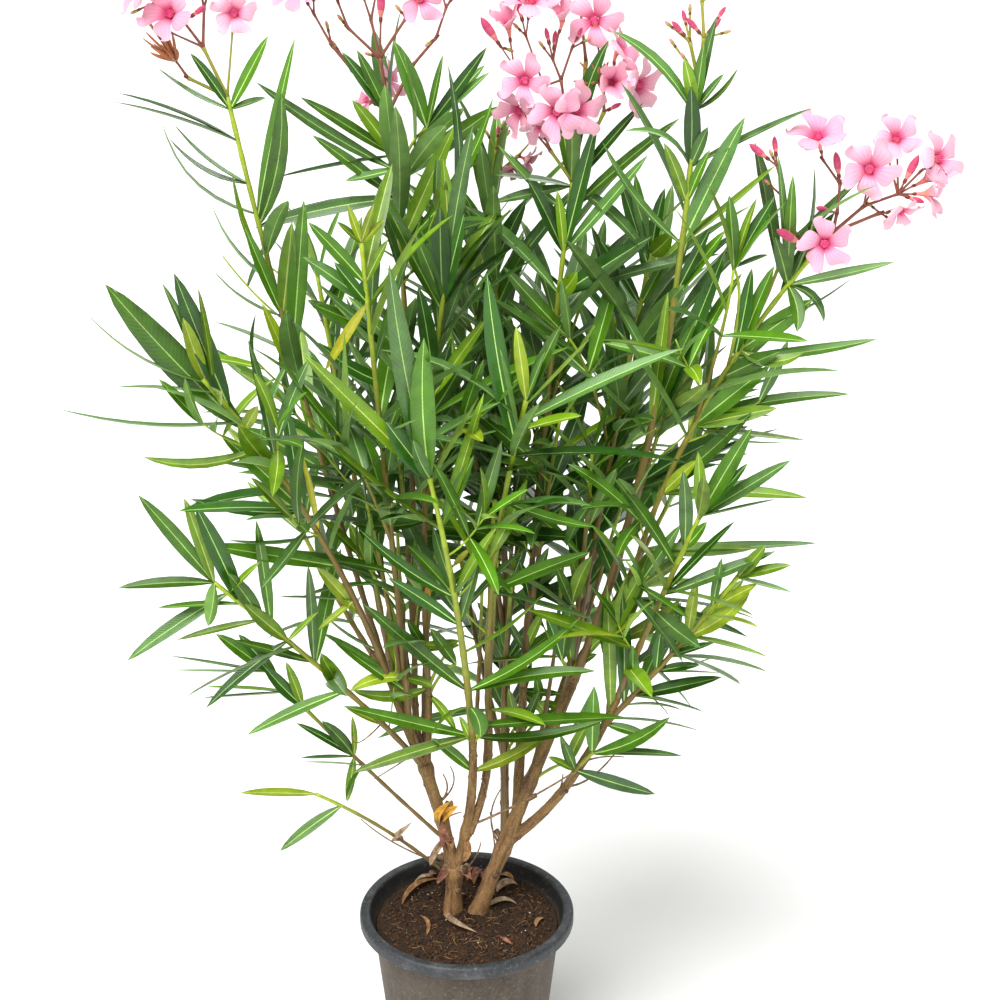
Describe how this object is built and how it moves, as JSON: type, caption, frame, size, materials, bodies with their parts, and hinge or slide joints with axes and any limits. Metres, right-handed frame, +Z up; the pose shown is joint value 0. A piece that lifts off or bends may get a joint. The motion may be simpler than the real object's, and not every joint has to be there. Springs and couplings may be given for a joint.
{
  "type": "potted oleander shrub",
  "caption": "Oleander shrub in flower in a round tapering plastic nursery pot: slim trunks, upright boughs and long narrow leaves, standing on the pot's flat underside.",
  "frame": {"origin": "centre of the pot's flat underside, on the surface it stands on", "axes": "+Z up through the plant, +X to the right and -Y towards the front as the picture shows it"},
  "size_m": [0.8598, 0.5007, 1.2378],
  "materials": {
    "pot": "dull grey-brown moulded plastic, the rim darker and bluer",
    "soil": "dark moist potting compost",
    "bark": "tan-brown fibrous bark",
    "foliage": "mid-green leathery leaves with paler midribs, and pink blossom"
  },
  "bodies": {
    "root": {"pot": "pot", "soil": "soil", "trunk_left": "bark", "trunk_right": "bark", "bough_left": "bark", "bough_left_outer": "bark", "bough_left_middle": "bark", "bough_left_inner": "bark", "bough_front": "bark", "bough_front_right": "bark", "bough_right": "bark", "bough_centre": "bark", "bough_back": "bark", "bough_back_left": "bark", "bough_back_right": "bark", "foliage_left_wing": "foliage", "foliage_left_bloom": "foliage", "foliage_left_front": "foliage", "foliage_middle_bloom": "foliage", "foliage_middle": "foliage", "foliage_left_low": "foliage", "foliage_left_low_back": "foliage", "foliage_left_sucker": "foliage", "foliage_front": "foliage", "foliage_front_right": "foliage", "foliage_centre_bloom": "foliage", "foliage_centre_back": "foliage", "foliage_right_inner": "foliage", "foliage_right_tall": "foliage", "foliage_right_bloom": "foliage", "foliage_right_front": "foliage", "foliage_right_low": "foliage", "foliage_right_sucker": "foliage", "foliage_back_left": "foliage", "foliage_back_left_low": "foliage", "foliage_back": "foliage", "foliage_back_low": "foliage", "foliage_back_right": "foliage", "foliage_back_right_low": "foliage"}
  },
  "joints": []
}
